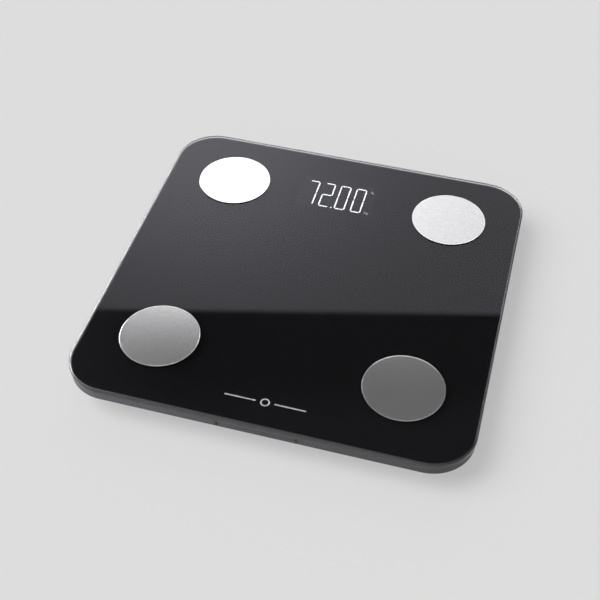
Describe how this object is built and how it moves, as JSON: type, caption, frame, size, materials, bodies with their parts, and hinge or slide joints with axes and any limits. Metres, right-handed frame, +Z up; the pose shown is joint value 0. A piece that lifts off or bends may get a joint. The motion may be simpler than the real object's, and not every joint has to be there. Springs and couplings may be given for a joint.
{
  "type": "digital bathroom scale",
  "caption": "Square glass platform scale with steel electrodes, a hidden digit display, load-cell feet, a sliding battery door and a unit button.",
  "frame": {"origin": "on the floor, under the middle of the square platform", "axes": "+Z up, +Y towards the display, +X to the right of a person who reads the display"},
  "size_m": [0.26, 0.26, 0.0246],
  "materials": {
    "tempered_glass": "polished",
    "mask_ink": "black ink printed on the back of the glass",
    "window_film": "smoked film that lets the digits through",
    "mark_ink": "silver ink",
    "foam_tape": "black foam tape",
    "electrode_steel": "fine satin",
    "clear_adhesive": "clear film",
    "tray_plastic": "satin charcoal ABS",
    "label_foil": "blank foil",
    "circuit_board": "green solder mask",
    "chip_black": "moulded package",
    "shield_tin": "tinned can",
    "socket_white": "nylon",
    "screw_zinc": "zinc plated",
    "reflector_black": "black ABS",
    "lit_segment": "lit diffuser",
    "dark_segment": "unlit diffuser",
    "ribbon_grey": "flat cable",
    "cell_steel": "nickel plated",
    "gauge_silicone": "white silicone",
    "wire_red": "PVC",
    "wire_black": "PVC",
    "wire_white": "PVC",
    "wire_blue": "PVC",
    "battery_sleeve": "printed sleeve",
    "contact_nickel": "nickel plated",
    "foot_plastic": "black ABS",
    "pad_rubber": "soft rubber",
    "button_plastic": "grey ABS",
    "plunger_plastic": "nylon"
  },
  "bodies": {
    "base": {"glass_platform": "tempered_glass", "printed_mask": "mask_ink", "display_window": "window_film", "printed_mark": "mark_ink", "glass_tape": "foam_tape", "electrode_front_left": "electrode_steel", "electrode_front_right": "electrode_steel", "electrode_back_left": "electrode_steel", "electrode_back_right": "electrode_steel", "electrode_adhesive": "clear_adhesive", "base_tray": "tray_plastic", "rating_label": "label_foil", "main_board": "circuit_board", "board_chips": "chip_black", "bluetooth_module": "shield_tin", "board_sockets": "socket_white", "board_screws": "screw_zinc", "display_board": "circuit_board", "display_reflector": "reflector_black", "display_gasket": "foam_tape", "segments_lit": "lit_segment", "segments_unlit": "dark_segment", "unit_icons": "dark_segment", "display_screws": "screw_zinc", "display_ribbon": "ribbon_grey", "load_cell_front_left": "cell_steel", "load_cell_front_right": "cell_steel", "load_cell_back_left": "cell_steel", "load_cell_back_right": "cell_steel", "strain_gauges": "gauge_silicone", "cell_wires_red": "wire_red", "cell_wires_black": "wire_black", "cell_wires_white": "wire_white", "electrode_wires": "wire_blue", "battery_front": "battery_sleeve", "battery_middle": "battery_sleeve", "battery_rear": "battery_sleeve", "battery_contacts": "contact_nickel", "battery_springs": "contact_nickel", "battery_lead_positive": "wire_red", "battery_lead_negative": "wire_black", "unit_switch": "chip_black"},
    "foot_front_left": {"foot_cup_front_left": "foot_plastic", "foot_pad_front_left": "pad_rubber"},
    "foot_front_right": {"foot_cup_front_right": "foot_plastic", "foot_pad_front_right": "pad_rubber"},
    "foot_back_left": {"foot_cup_back_left": "foot_plastic", "foot_pad_back_left": "pad_rubber"},
    "foot_back_right": {"foot_cup_back_right": "foot_plastic", "foot_pad_back_right": "pad_rubber"},
    "door": {"battery_door": "tray_plastic"},
    "button": {"unit_button": "button_plastic", "switch_plunger": "plunger_plastic"}
  },
  "joints": [
    {"name": "foot_front_left_press", "type": "slide", "parent": "base", "child": "foot_front_left", "axis": [0, 0, 1], "range_m": [0, 0.0006], "stiffness_N_per_m": 30000, "deforming": ["load_cell_front_left"]},
    {"name": "foot_front_right_press", "type": "slide", "parent": "base", "child": "foot_front_right", "axis": [0, 0, 1], "range_m": [0, 0.0006], "stiffness_N_per_m": 30000, "deforming": ["load_cell_front_right"]},
    {"name": "foot_back_left_press", "type": "slide", "parent": "base", "child": "foot_back_left", "axis": [0, 0, 1], "range_m": [0, 0.0006], "stiffness_N_per_m": 30000, "deforming": ["load_cell_back_left"]},
    {"name": "foot_back_right_press", "type": "slide", "parent": "base", "child": "foot_back_right", "axis": [0, 0, 1], "range_m": [0, 0.0006], "stiffness_N_per_m": 30000, "deforming": ["load_cell_back_right"]},
    {"name": "battery_door_slide", "type": "slide", "parent": "base", "child": "door", "axis": [0, -1, 0], "range_m": [0, 0.05]},
    {"name": "unit_button_press", "type": "slide", "parent": "base", "child": "button", "axis": [0, 0, 1], "range_m": [0, 0.0003], "stiffness_N_per_m": 5000}
  ]
}
